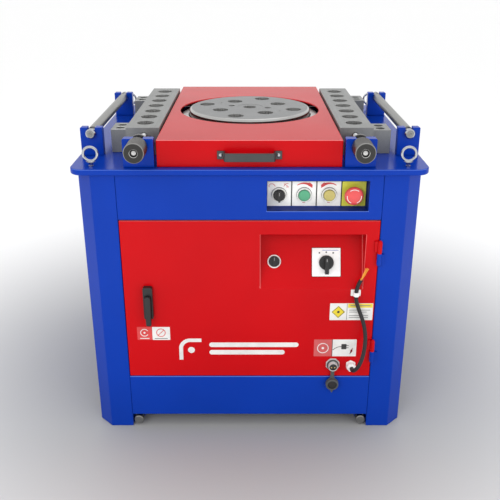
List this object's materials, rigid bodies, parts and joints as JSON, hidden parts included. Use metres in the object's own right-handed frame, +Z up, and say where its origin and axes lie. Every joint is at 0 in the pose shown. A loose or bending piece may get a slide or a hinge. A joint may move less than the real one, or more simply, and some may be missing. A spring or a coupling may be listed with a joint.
{
  "type": "rebar bender",
  "caption": "Workshop rebar bender: cabinet on corner posts, turntable with pin holes, perforated side bars, feed rollers, hinged cover and door, sunk controls.",
  "frame": {"origin": "centre of the machine's footprint box, on the floor", "axes": "+Z up, +X to the operator's right, +Y from the control side towards the back"},
  "size_m": [0.76, 0.734, 0.7197],
  "materials": {
    "blue_paint": "gloss enamel over sheet steel",
    "red_paint": "gloss enamel over sheet steel",
    "ground_steel": "milled and ground, lightly oiled",
    "grey_casting": "satin grey paint",
    "dark_steel": "black oxide",
    "zinc_steel": "bright zinc plate",
    "black_rubber": "matt",
    "black_plastic": "satin moulded",
    "white_plastic": "satin moulded",
    "bronze": "machined",
    "green_plastic": "moulded",
    "yellow_plastic": "moulded",
    "red_plastic": "moulded"
  },
  "bodies": {
    "cabinet": {"left_side_panel": "blue_paint", "right_side_panel": "blue_paint", "left_base_bar": "ground_steel", "right_base_bar": "ground_steel", "upper_front_panel": "blue_paint", "lower_front_panel": "blue_paint", "rear_panel": "blue_paint", "base_plate": "blue_paint", "top_plate": "blue_paint", "bar_bed_left": "grey_casting", "bar_bed_right": "grey_casting", "screw_bracket_left": "blue_paint", "screw_bracket_right": "blue_paint", "gearbox_housing": "grey_casting", "motor": "grey_casting", "v_belt": "black_rubber", "electrical_panel": "white_plastic", "control_plates": "white_plastic", "hinge_upper_frame_half": "blue_paint", "hinge_lower_frame_half": "blue_paint", "eye_bolt_left_front": "zinc_steel", "roller_bracket_left_front": "blue_paint", "stop_block_left_front": "ground_steel", "eye_bolt_left_rear": "zinc_steel", "roller_bracket_left_rear": "blue_paint", "stop_block_left_rear": "ground_steel", "eye_bolt_right_front": "zinc_steel", "roller_bracket_right_front": "blue_paint", "stop_block_right_front": "ground_steel", "eye_bolt_right_rear": "zinc_steel", "roller_bracket_right_rear": "blue_paint", "stop_block_right_rear": "ground_steel"},
    "turntable": {"working_disc": "ground_steel", "main_shaft": "ground_steel", "worm_wheel": "bronze"},
    "worm": {"worm_shaft": "dark_steel", "driven_pulley": "grey_casting"},
    "motor_rotor": {"motor_pulley": "grey_casting"},
    "cover": {"disc_cover": "red_paint", "cover_handle": "grey_casting"},
    "door": {"door_panel": "red_paint", "latch_housing": "black_plastic", "pedal_socket": "zinc_steel", "cable_gland": "white_plastic", "supply_cable": "black_rubber", "cable_clip": "white_plastic"},
    "latch": {"latch_lever": "black_plastic"},
    "cap": {"socket_cap": "black_rubber"},
    "door_knob": {"door_knob": "black_plastic"},
    "main_switch": {"main_switch_knob": "black_plastic"},
    "selector": {"mode_selector": "black_plastic"},
    "green_button": {"green_button": "green_plastic"},
    "yellow_button": {"yellow_button": "yellow_plastic"},
    "stop_button": {"stop_button": "red_plastic"},
    "screw_left": {"adjusting_screw_left": "dark_steel"},
    "screw_right": {"adjusting_screw_right": "dark_steel"},
    "bar_left": {"hole_bar_left": "ground_steel"},
    "bar_right": {"hole_bar_right": "ground_steel"},
    "roller_left": {"feed_roller_left": "ground_steel"},
    "roller_right": {"feed_roller_right": "ground_steel"}
  },
  "joints": [
    {"name": "disc_spin", "type": "hinge", "parent": "cabinet", "child": "turntable", "pos_m": [0, 0.02, 0.703], "axis": [0, 0, 1], "continuous": true},
    {"name": "worm_spin", "type": "hinge", "parent": "cabinet", "child": "worm", "pos_m": [0, 0.1348, 0.52], "axis": [1, 0, 0], "continuous": true},
    {"name": "motor_spin", "type": "hinge", "parent": "cabinet", "child": "motor_rotor", "pos_m": [0, 0.1348, 0.15], "axis": [1, 0, 0], "continuous": true},
    {"name": "cover_lift", "type": "hinge", "parent": "cabinet", "child": "cover", "pos_m": [0, 0.346, 0.656], "axis": [-1, 0, 0], "range_deg": [0, 90]},
    {"name": "door_swing", "type": "hinge", "parent": "cabinet", "child": "door", "pos_m": [0.285, -0.3206, 0.34], "axis": [0, 0, 1], "range_deg": [0, 110]},
    {"name": "latch_turn", "type": "hinge", "parent": "door", "child": "latch", "pos_m": [-0.229, -0.332, 0.352], "axis": [0, -1, 0], "range_deg": [0, 90]},
    {"name": "cap_swing", "type": "hinge", "parent": "door", "child": "cap", "pos_m": [0.1955, -0.321, 0.176], "axis": [0, 1, 0], "range_deg": [-40, 40]},
    {"name": "door_knob_turn", "type": "hinge", "parent": "door", "child": "door_knob", "pos_m": [0.0552, -0.29092, 0.42938], "axis": [0, -0.922, 0.3871], "range_deg": [-45, 45]},
    {"name": "main_switch_turn", "type": "hinge", "parent": "door", "child": "main_switch", "pos_m": [0.1723, -0.292, 0.4268], "axis": [0, -0.922, 0.3871], "range_deg": [0, 90]},
    {"name": "selector_turn", "type": "hinge", "parent": "cabinet", "child": "selector", "pos_m": [0.06425, -0.28, 0.5842], "axis": [0, -1, 0], "range_deg": [-45, 45]},
    {"name": "green_press", "type": "slide", "parent": "cabinet", "child": "green_button", "axis": [0, 1, 0], "range_m": [0, 0.004], "stiffness_N_per_m": 400},
    {"name": "yellow_press", "type": "slide", "parent": "cabinet", "child": "yellow_button", "axis": [0, 1, 0], "range_m": [0, 0.004], "stiffness_N_per_m": 400},
    {"name": "stop_press", "type": "slide", "parent": "cabinet", "child": "stop_button", "axis": [0, 1, 0], "range_m": [0, 0.006], "stiffness_N_per_m": 600},
    {"name": "bar_slide_left", "type": "slide", "parent": "cabinet", "child": "bar_left", "axis": [0, 1, 0], "range_m": [-0.02, 0.02]},
    {"name": "screw_turn_left", "type": "hinge", "parent": "cabinet", "child": "screw_left", "pos_m": [-0.233, -0.299, 0.698], "axis": [0, 1, 0], "range_deg": [-1810, 1810]},
    {"name": "roller_spin_left", "type": "hinge", "parent": "cabinet", "child": "roller_left", "pos_m": [-0.3495, 0.013, 0.703], "axis": [0, 1, 0], "continuous": true},
    {"name": "bar_slide_right", "type": "slide", "parent": "cabinet", "child": "bar_right", "axis": [0, 1, 0], "range_m": [-0.02, 0.02]},
    {"name": "screw_turn_right", "type": "hinge", "parent": "cabinet", "child": "screw_right", "pos_m": [0.233, -0.299, 0.698], "axis": [0, 1, 0], "range_deg": [-1810, 1810]},
    {"name": "roller_spin_right", "type": "hinge", "parent": "cabinet", "child": "roller_right", "pos_m": [0.352, 0.013, 0.703], "axis": [0, 1, 0], "continuous": true}
  ],
  "couplings": [
    {"joint": "worm_spin", "follows": "disc_spin", "ratio": 24},
    {"joint": "motor_spin", "follows": "disc_spin", "ratio": 60},
    {"joint": "screw_turn_left", "follows": "bar_slide_left", "rad_per_m": -1570.8},
    {"joint": "screw_turn_right", "follows": "bar_slide_right", "rad_per_m": -1570.8}
  ]
}
